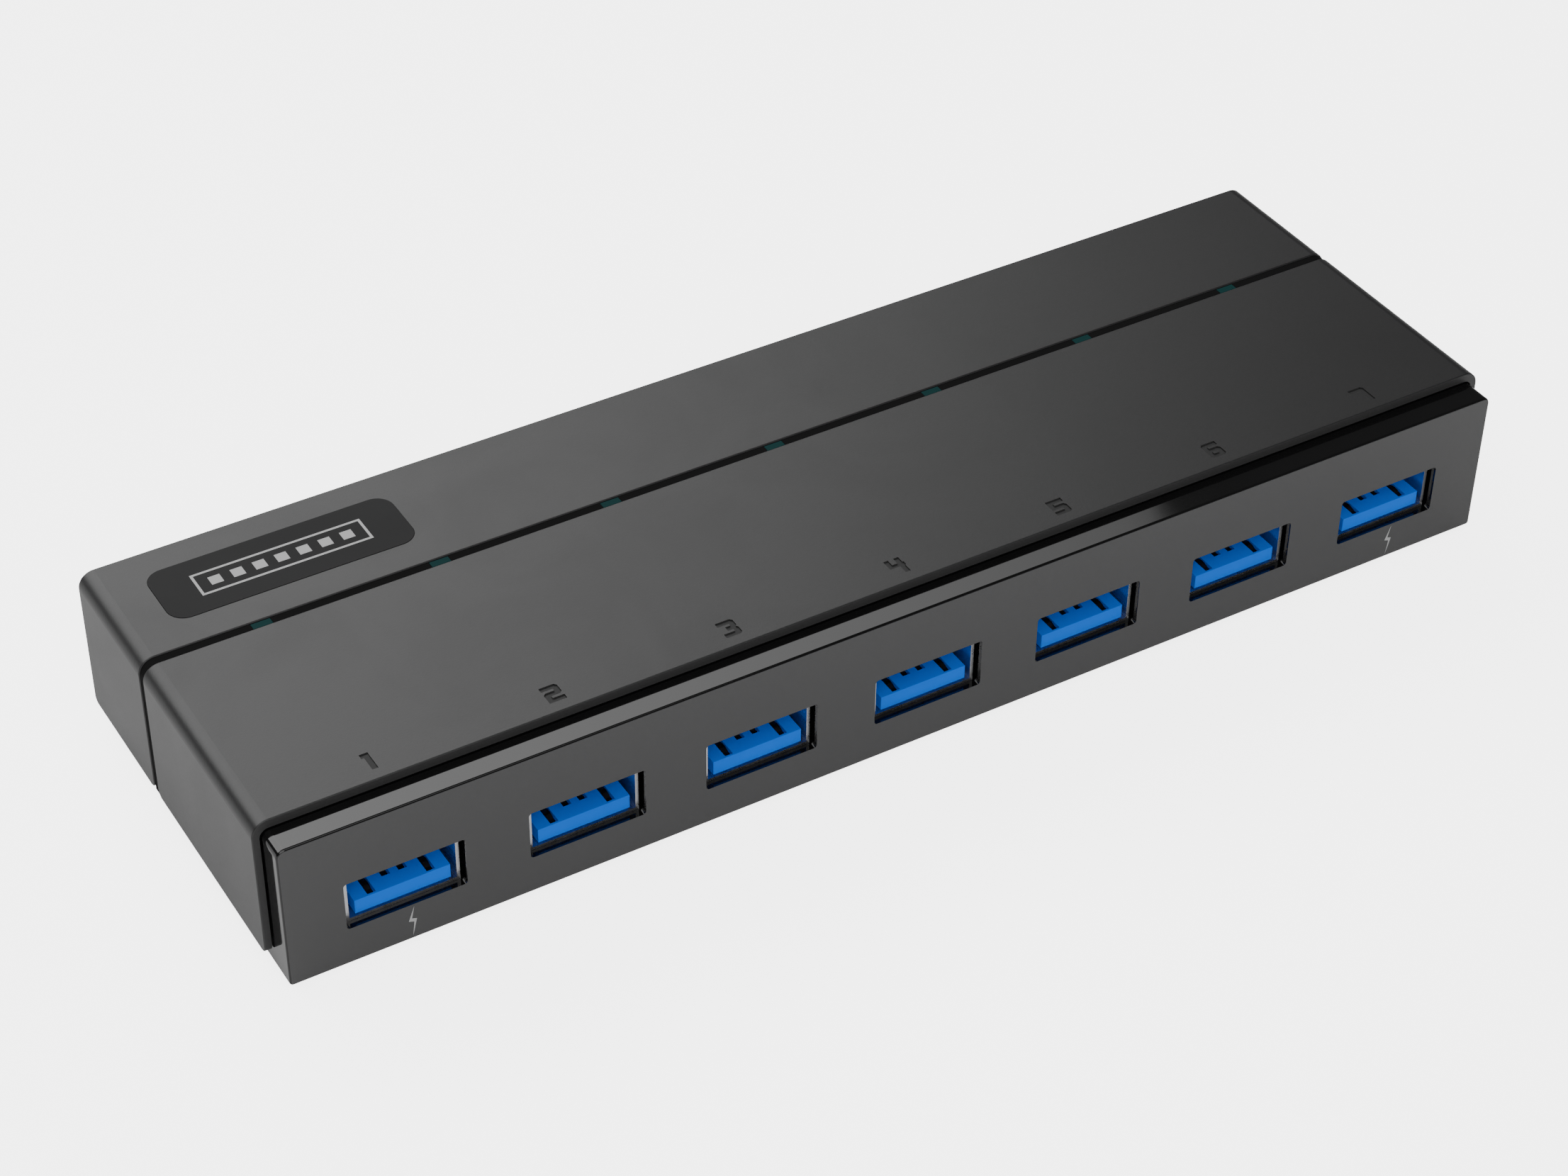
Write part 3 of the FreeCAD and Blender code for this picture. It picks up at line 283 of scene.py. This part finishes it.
def makeCoverPlastic(name, values):
    # satin all over; the end that faces -Y is a little lighter, which is painted light, and the
    # floors of the sunk numbers are rough and darker, the darker colour being painted shade
    material, tree, shader = plasticMaterial(name, values)
    coordinates = addNode(tree, "ShaderNodeTexCoord")
    normal = splitAxes(tree, coordinates.outputs["Normal"])
    place = splitAxes(tree, coordinates.outputs["Object"])
    # painted light: the end of the cover that faces -Y gets a lighter colour than the rest of the
    # same plastic
    endMask = rangeMask(tree, normal["Y"], *maskRange["front"])
    finishAndPaintedLightWhere(tree, shader, endMask, values["endPaintedLightColour"], values["endRoughness"])
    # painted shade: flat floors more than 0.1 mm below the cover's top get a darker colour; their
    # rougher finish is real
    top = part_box("main_cover")[1][2]
    flat = rangeMask(tree, normal["Z"], *maskRange["flat"])
    sunk = rangeMask(tree, place["Z"], *(top - depth * mm for depth in maskRange["sunk"]))
    floorMask = addNode(tree, "ShaderNodeMath", operation="MULTIPLY")
    tree.links.new(flat, floorMask.inputs[0])
    tree.links.new(sunk, floorMask.inputs[1])
    finishAndPaintedLightWhere(tree, shader, floorMask.outputs[0], values["sunkPaintedShadeColour"], values["sunkRoughness"])
    return material


coverPlastic = makeCoverPlastic("coverPlastic", dict(
    coverLook, endPaintedLightColour=(0.034, 0.034, 0.0343), endRoughness=0.5,
    sunkPaintedShadeColour=(0.008, 0.008, 0.008), sunkRoughness=0.62,
))
setMaterial(coverPlastic, "main_cover", "rear_cover")


def makeBezelGloss(name, values):
    # gloss all over, but the port face, which faces -Y, has a satin tool finish and a lighter
    # colour that is painted light
    material, tree, shader = plasticMaterial(name, values)
    normal = splitAxes(tree, addNode(tree, "ShaderNodeTexCoord").outputs["Normal"])
    # painted light: the port face gets a lighter colour than the gloss sides of the same plastic;
    # its satin roughness is real
    faceMask = rangeMask(tree, normal["Y"], *maskRange["front"])
    finishAndPaintedLightWhere(tree, shader, faceMask, values["facePaintedLightColour"], values["faceRoughness"])
    return material


bezelLook = dict(glossLook, facePaintedLightColour=(0.054, 0.054, 0.0544), faceRoughness=0.42)
bezelGloss = makeBezelGloss("bezelGloss", bezelLook)
setMaterial(bezelGloss, "front_bezel")
caseGloss = plasticMaterial("caseGloss", glossLook)[0]
setMaterial(caseGloss, "inner_chassis", "rear_panel")

trayLook = dict(coverLook, colour=(0.018, 0.018, 0.018), roughness=0.5, bump=0.3)
setMaterial(plasticMaterial("trayPlastic", trayLook)[0], "base_tray")

bandLook = dict(coverLook, colour=(0.006, 0.006, 0.006), roughness=0.7, specular=0.04)
setMaterial(plasticMaterial("bandPlastic", bandLook)[0], "groove_band")

badgeLook = dict(
    coverLook, colour=(0.016, 0.016, 0.0163), roughness=0.5, bump=0.05, specular=0.12,
)
setMaterial(plasticMaterial("badgePlastic", badgeLook)[0], "badge_plate")

blueLook = dict(
    coverLook, colour=(0.0, 0.17, 0.88), roughness=0.42, bump=0.05, smear=0.0, specular=0.12,
)
bluePlastic = plasticMaterial("bluePlastic", blueLook)[0]
setMaterial(
    bluePlastic, "usb_b_insulator", "usb_b_tongue", *named("usb_tongue"), *named("usb_block"),
)

jackLook = dict(coverLook, colour=(0.01, 0.01, 0.01), roughness=0.4)
setMaterial(plasticMaterial("jackPlastic", jackLook)[0], "dc_jack")

rubberLook = dict(
    coverLook, colour=(0.012, 0.012, 0.012), roughness=0.8, bump=0.6, specular=0.25,
)
setMaterial(plasticMaterial("footRubber", rubberLook)[0], "rubber_feet")

windowLook = dict(
    coverLook, colour=(0.007, 0.034, 0.034), roughness=0.5, bump=0.02, smear=0.0, specular=0.03,
)
setMaterial(plasticMaterial("tealWindow", windowLook)[0], *named("light_window"))
print("stage: plastics done")

# metals

steelLook = {
    "colour": (0.78, 0.78, 0.79), "roughness": 0.22, "roughSpread": 0.12, "darkLine": 0.92,
    "brush": 900.0, "brushStretch": 0.03, "bump": 0.08, "bumpDepth": 0.02 * mm,
}


def metalMaterial(name, values):
    # drawn or plated metal: long fine brush lines in height and roughness
    material, tree, shader = newMaterial(name)
    link = tree.links.new
    stretch = addNode(tree, "ShaderNodeMapping")
    stretch.inputs["Scale"].default_value = (1.0, values["brushStretch"], 1.0)
    link(objectCoordinates(tree), stretch.inputs["Vector"])
    lines = addNode(tree, "ShaderNodeTexNoise", Scale=values["brush"], Detail=4.0, Roughness=0.6)
    link(stretch.outputs["Vector"], lines.inputs["Vector"])
    base = Vector(values["colour"])
    colour = rampNode(tree, lines.outputs["Fac"], [
        (0.2, tuple(base * values["darkLine"])), (0.8, tuple(base)),
    ])
    link(colour, shader.inputs["Base Color"])
    rough = addNode(tree, "ShaderNodeMath", operation="MULTIPLY_ADD")
    rough.inputs[1].default_value = values["roughSpread"]
    rough.inputs[2].default_value = values["roughness"]
    link(lines.outputs["Fac"], rough.inputs[0])
    link(rough.outputs[0], shader.inputs["Roughness"])
    bump = addNode(
        tree, "ShaderNodeBump", Strength=values["bump"], Distance=values["bumpDepth"],
    )
    link(lines.outputs["Fac"], bump.inputs["Height"])
    link(bump.outputs["Normal"], shader.inputs["Normal"])
    shader.inputs["Metallic"].default_value = 1.0
    return material


platedSteel = metalMaterial("platedSteel", steelLook)
setMaterial(platedSteel, "usb_b_shell", *named("usb_shell"))
screwZinc = metalMaterial("screwZinc", dict(steelLook, colour=(0.45, 0.45, 0.46), roughness=0.3))
setMaterial(screwZinc, "case_screws", "board_screws", "crystals")
contactGold = metalMaterial(
    "contactGold", dict(steelLook, colour=(0.83, 0.58, 0.22), roughness=0.2),
)
setMaterial(contactGold, "usb_b_contacts", "dc_jack_pin")
# painted shade: the contacts deep in the USB-A slots are near black to stand for the shade in the
# slots, not for their metal colour
contactPaintedShade = metalMaterial(
    "contactPaintedShade", dict(steelLook, colour=(0.05, 0.045, 0.04), roughness=0.4),
)
setMaterial(contactPaintedShade, "usb_contacts")
setMaterial(metalMaterial("canAluminium", dict(steelLook, roughness=0.35)), "port_capacitors")
print("stage: metals done")

# board

boardLook = dict(coverLook, colour=(0.01, 0.09, 0.03), roughness=0.35, bump=0.1)
setMaterial(plasticMaterial("boardLaminate", boardLook)[0], "circuit_board")
chipLook = dict(coverLook, colour=(0.01, 0.01, 0.01), roughness=0.55)
chipPlastic = plasticMaterial("chipPlastic", chipLook)[0]
setMaterial(chipPlastic, *named("hub_controller"), "power_inductors", "port_fuses")
ceramicLook = dict(coverLook, colour=(0.30, 0.22, 0.15), roughness=0.5)
setMaterial(plasticMaterial("chipCeramic", ceramicLook)[0], "chip_capacitors")
ledLook = dict(coverLook, colour=(0.7, 0.7, 0.6), roughness=0.3)
setMaterial(plasticMaterial("ledResin", ledLook)[0], "status_leds")

# printed marks

printLook = {"ink": (0.42, 0.42, 0.42), "thickness": 0.02 * mm}
inkMaterial = plasticMaterial("printedInk", dict(
    coverLook, colour=printLook["ink"], roughness=0.5, bump=0.05, smear=0.0,
))[0]


def flatPrint(name, loops, toFrame):
    # each loop is a closed outline in mm; it becomes a thin closed plate placed by toFrame
    mesh = bpy.data.meshes.new(name)
    solid = bmesh.new()
    for loop in loops:
        lower = [solid.verts.new(toFrame(u, v, 0.0)) for u, v in loop]
        upper = [solid.verts.new(toFrame(u, v, printLook["thickness"])) for u, v in loop]
        solid.faces.new(upper)
        solid.faces.new(list(reversed(lower)))
        for k in range(len(loop)):
            after = (k + 1) % len(loop)
            solid.faces.new([lower[k], lower[after], upper[after], upper[k]])
    bmesh.ops.recalc_face_normals(solid, faces=solid.faces)
    bmesh.ops.triangulate(solid, faces=solid.faces)
    solid.to_mesh(mesh)
    solid.free()
    piece = bpy.data.objects.new(name, mesh)
    bpy.context.collection.objects.link(piece)
    mesh.materials.append(inkMaterial)
    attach(piece, "root")
    return piece


def portCentre(number):
    low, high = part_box(f"usb_shell_{number}")
    return (low[0] + high[0]) / 2


# a thin bolt under the two ports that charge: point up, waist, point down
boltMark = {
    "outline": [
        (0.28, 2.08), (-0.47, 0.12), (0.17, -0.12), (-0.08, -2.08), (0.50, 0.22), (-0.08, 0.42),
    ],
    "shift": {1: 0.4, 7: 1.0}, "height": 3.5,
}


def makeBolts(values):
    loops = []
    for number, shift in values["shift"].items():
        centre = portCentre(number) / mm + shift
        loops.append([(centre + u, values["height"] + v) for u, v in values["outline"]])
    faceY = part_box("front_bezel")[0][1]
    return flatPrint(
        "charge_marks", loops, lambda u, v, up: (u * mm, faceY - up, v * mm),
    )


makeBolts(boltMark)

# plain pictogram on the badge: a long frame with seven small squares in a row
badgeMark = {"length": 21.0, "depth": 4.0, "line": 0.32, "square": 1.45, "pitch": 2.7}


def rectangleLoop(centreU, centreV, width, depth):
    halfU = width / 2
    halfV = depth / 2
    return [
        (centreU - halfU, centreV - halfV), (centreU + halfU, centreV - halfV),
        (centreU + halfU, centreV + halfV), (centreU - halfU, centreV + halfV),
    ]


def makeBadgeMark(values):
    low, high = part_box("badge_plate")
    centreX = (low[0] + high[0]) / 2
    centreY = (low[1] + high[1]) / 2
    line = values["line"]
    loops = [
        rectangleLoop(0.0, side * (values["depth"] - line) / 2, values["length"], line)
        for side in (-1, 1)
    ]
    loops += [
        rectangleLoop(side * (values["length"] - line) / 2, 0.0, line, values["depth"] - 2 * line)
        for side in (-1, 1)
    ]
    loops += [
        rectangleLoop(
            (number - middlePort) * values["pitch"], 0.0, values["square"], values["square"],
        )
        for number in portNumbers
    ]
    return flatPrint(
        "badge_mark", loops,
        lambda u, v, up: (centreX + u * mm, centreY + v * mm, high[2] + up),
    )


makeBadgeMark(badgeMark)
print("stage: prints done")

# small repeated pieces, placed on a cloud of points by a node tree
domeLook = {
    "solder": {"radius": 0.85 * mm, "height": 0.55 * mm},
    "dimple": {"radius": 0.55 * mm, "height": 0.32 * mm},
    "segments": 20, "rings": 10,
}
# in mm: legs from the shell's mouth and sides, contact tails from the port's middle and the
# shell's back, dimples from the shell's mouth and top
pointPlace = {
    "legBack": 5.25, "legInset": 0.2, "tailReaches": (-3.5, -1.0, 1.0, 3.5), "tailBehind": 0.3,
    "dimpleBack": 5.0, "dimpleDrop": 0.42,
}


def makeDomeTree(values):
    # a squashed dome on every point, realised and given one material
    tree = bpy.data.node_groups.new("domesOnPoints", "GeometryNodeTree")
    tree.interface.new_socket(name="Geometry", in_out="INPUT", socket_type="NodeSocketGeometry")
    for label in ("Radius", "Height"):
        size = tree.interface.new_socket(
            name=label, in_out="INPUT", socket_type="NodeSocketFloat",
        )
        size.default_value = mm
    tree.interface.new_socket(name="Material", in_out="INPUT", socket_type="NodeSocketMaterial")
    tree.interface.new_socket(name="Geometry", in_out="OUTPUT", socket_type="NodeSocketGeometry")
    link = tree.links.new
    source = tree.nodes.new("NodeGroupInput")
    sink = tree.nodes.new("NodeGroupOutput")
    dome = tree.nodes.new("GeometryNodeMeshUVSphere")
    dome.inputs["Segments"].default_value = values["segments"]
    dome.inputs["Rings"].default_value = values["rings"]
    link(source.outputs["Radius"], dome.inputs["Radius"])
    flatness = tree.nodes.new("ShaderNodeMath")
    flatness.operation = "DIVIDE"
    link(source.outputs["Height"], flatness.inputs[0])
    link(source.outputs["Radius"], flatness.inputs[1])
    squash = tree.nodes.new("ShaderNodeCombineXYZ")
    squash.inputs["X"].default_value = 1.0
    squash.inputs["Y"].default_value = 1.0
    link(flatness.outputs[0], squash.inputs["Z"])
    shaped = tree.nodes.new("GeometryNodeTransform")
    link(dome.outputs["Mesh"], shaped.inputs["Geometry"])
    link(squash.outputs["Vector"], shaped.inputs["Scale"])
    placed = tree.nodes.new("GeometryNodeInstanceOnPoints")
    link(source.outputs["Geometry"], placed.inputs["Points"])
    link(shaped.outputs["Geometry"], placed.inputs["Instance"])
    real = tree.nodes.new("GeometryNodeRealizeInstances")
    link(placed.outputs["Instances"], real.inputs["Geometry"])
    smooth = tree.nodes.new("GeometryNodeSetShadeSmooth")
    link(real.outputs["Geometry"], smooth.inputs["Geometry"])
    coloured = tree.nodes.new("GeometryNodeSetMaterial")
    link(smooth.outputs["Geometry"], coloured.inputs["Geometry"])
    link(source.outputs["Material"], coloured.inputs["Material"])
    link(coloured.outputs["Geometry"], sink.inputs["Geometry"])
    return tree


domeTree = makeDomeTree(domeLook)


def domesOnPoints(name, points, material, values):
    cloud = bpy.data.meshes.new(name + "Points")
    cloud.from_pydata(points, [], [])
    holder = bpy.data.objects.new(name + "Points", cloud)
    bpy.context.collection.objects.link(holder)
    modifier = holder.modifiers.new("domes", "NODES")
    modifier.node_group = domeTree
    wanted = {"Radius": values["radius"], "Height": values["height"], "Material": material}
    for item in domeTree.interface.items_tree:
        if item.item_type == "SOCKET" and item.in_out == "INPUT" and item.name in wanted:
            modifier[item.identifier] = wanted[item.name]
    bpy.context.view_layer.update()
    evaluated = holder.evaluated_get(bpy.context.evaluated_depsgraph_get())
    mesh = bpy.data.meshes.new_from_object(evaluated)
    mesh.name = name
    bpy.data.objects.remove(holder)
    piece = bpy.data.objects.new(name, mesh)
    bpy.context.collection.objects.link(piece)
    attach(piece, "root")
    return piece


def solderPoints(values):
    # under the board, at both legs of every port shell and at each contact's tail
    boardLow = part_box("circuit_board")[0][2]
    points = []
    for number in portNumbers:
        low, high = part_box(f"usb_shell_{number}")
        centre = portCentre(number)
        legY = low[1] + values["legBack"] * mm
        inset = values["legInset"] * mm
        points += [(low[0] + inset, legY, boardLow), (high[0] - inset, legY, boardLow)]
        for reach in values["tailReaches"]:
            points.append((centre + reach * mm, high[1] + values["tailBehind"] * mm, boardLow))
    return points


def dimplePoints(values):
    # on the inner side of the two spring leaves of every port shell
    points = []
    for number in portNumbers:
        low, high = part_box(f"usb_shell_{number}")
        centre = portCentre(number)
        quarter = (high[0] - low[0]) / 4
        along = low[1] + values["dimpleBack"] * mm
        level = high[2] - values["dimpleDrop"] * mm
        points += [(centre + side * quarter, along, level) for side in (-1, 1)]
    return points


solderTin = metalMaterial(
    "solderTin", dict(steelLook, colour=(0.62, 0.62, 0.64), roughness=0.28),
)
domesOnPoints(
    "solder_joints", solderPoints(pointPlace), solderTin, domeLook["solder"],
)
domesOnPoints(
    "leaf_dimples", dimplePoints(pointPlace), platedSteel, domeLook["dimple"],
)
print("stage: repeated pieces done")

# floor, light, camera

stageLook = {
    "floorColour": (0.92, 0.92, 0.92), "floorSize": 8.0, "floorGlow": 4.0,
    "floorRoughness": 0.95, "floorSpecular": 0.05,
    "worldColour": (1.0, 1.0, 1.0), "worldStrength": 0.12,
}


def makeFloor(values):
    bpy.ops.mesh.primitive_plane_add(size=values["floorSize"], location=(0, 0, 0))
    floor = bpy.context.object
    floor.name = "studioFloor"
    material, tree, shader = newMaterial("studioFloor")
    shader.inputs["Base Color"].default_value = (*values["floorColour"], 1.0)
    shader.inputs["Roughness"].default_value = values["floorRoughness"]
    shader.inputs["Specular IOR Level"].default_value = values["floorSpecular"]
    # the floor looks brighter than the light it throws back on the object
    shader.inputs["Emission Color"].default_value = (1.0, 1.0, 1.0, 1.0)
    seen = addNode(tree, "ShaderNodeLightPath")
    glow = addNode(tree, "ShaderNodeMath", operation="MULTIPLY")
    glow.inputs[1].default_value = values["floorGlow"]
    tree.links.new(seen.outputs["Is Camera Ray"], glow.inputs[0])
    tree.links.new(glow.outputs[0], shader.inputs["Emission Strength"])
    floor.data.materials.append(material)


def makeWorld(values):
    world = bpy.data.worlds.new("studioWorld")
    bpy.context.scene.world = world
    world.use_nodes = True
    background = world.node_tree.nodes["Background"]
    background.inputs["Color"].default_value = (*values["worldColour"], 1.0)
    background.inputs["Strength"].default_value = values["worldStrength"]


# bearing is from +Y towards +X and elevation above the horizon, both from the object;
# glow is the panel's radiance over most of its width and at the side it fades to
softboxes = {
    "backPanel": {
        "bearing": -9.5, "elevation": 42.0, "distance": 1.5, "size": (2.314, 0.8),
        "glow": (4.0, 1.35),
    },
    "topPanel": {
        "bearing": 215.0, "elevation": 68.0, "distance": 1.6, "size": (1.8, 1.4),
        "glow": (1.7, 1.7),
    },
    "frontPanel": {
        "bearing": 198.0, "elevation": 35.0, "distance": 1.3, "size": (1.1, 0.8),
        "glow": (3.0, 3.0),
    },
}
# across a panel of width 1, from its middle
fadeRange = (0.173, 0.5)


def makeSoftbox(name, values):
    bearing = math.radians(values["bearing"])
    elevation = math.radians(values["elevation"])
    reach = math.cos(elevation)
    direction = Vector((math.sin(bearing) * reach, math.cos(bearing) * reach, math.sin(elevation)))
    bpy.ops.mesh.primitive_plane_add(size=1.0, location=(0, 0, 0))
    panel = bpy.context.object
    panel.name = name
    panel.scale = (*values["size"], 1.0)
    panel.location = direction * values["distance"]
    panel.rotation_euler = (-direction).to_track_quat("Z", "Y").to_euler()
    material = bpy.data.materials.new(name)
    material.use_nodes = True
    tree = material.node_tree
    tree.nodes.clear()
    output = tree.nodes.new("ShaderNodeOutputMaterial")
    light = tree.nodes.new("ShaderNodeEmission")
    across = addNode(tree, "ShaderNodeSeparateXYZ")
    tree.links.new(objectCoordinates(tree), across.inputs["Vector"])
    fade = addNode(tree, "ShaderNodeMapRange")
    fade.inputs["From Min"].default_value = fadeRange[0]
    fade.inputs["From Max"].default_value = fadeRange[1]
    fade.inputs["To Min"].default_value = values["glow"][0]
    fade.inputs["To Max"].default_value = values["glow"][1]
    tree.links.new(across.outputs["X"], fade.inputs["Value"])
    oneSided = addNode(tree, "ShaderNodeMath", operation="MULTIPLY")
    facing = addNode(tree, "ShaderNodeNewGeometry")
    front = addNode(tree, "ShaderNodeMath", operation="SUBTRACT")
    front.inputs[0].default_value = 1.0
    tree.links.new(facing.outputs["Backfacing"], front.inputs[1])
    tree.links.new(fade.outputs["Result"], oneSided.inputs[0])
    tree.links.new(front.outputs[0], oneSided.inputs[1])
    tree.links.new(oneSided.outputs[0], light.inputs["Strength"])
    tree.links.new(light.outputs["Emission"], output.inputs["Surface"])
    panel.data.materials.append(material)
    panel.visible_shadow = False


cameraPlace = {
    "location": (-0.16724, -0.269185, 0.26107), "azimuth": -30.04, "elevation": 39.51,
    "lens": 78.38, "sensor": 36.0, "nearClip": 0.005, "shiftX": 0.0367, "shiftY": 0.02075,
}


def makeCamera(values):
    data = bpy.data.cameras.new("viewCamera")
    data.lens = values["lens"]
    data.sensor_width = values["sensor"]
    data.shift_x = values["shiftX"]
    data.shift_y = values["shiftY"]
    data.clip_start = values["nearClip"]
    camera = bpy.data.objects.new("viewCamera", data)
    camera.location = values["location"]
    tilt = math.radians(90 - values["elevation"])
    camera.rotation_euler = (tilt, 0.0, math.radians(values["azimuth"]))
    bpy.context.collection.objects.link(camera)
    bpy.context.scene.camera = camera


makeFloor(stageLook)
makeWorld(stageLook)
for name, values in softboxes.items():
    makeSoftbox(name, values)
makeCamera(cameraPlace)
print("stage: floor, light and camera done")
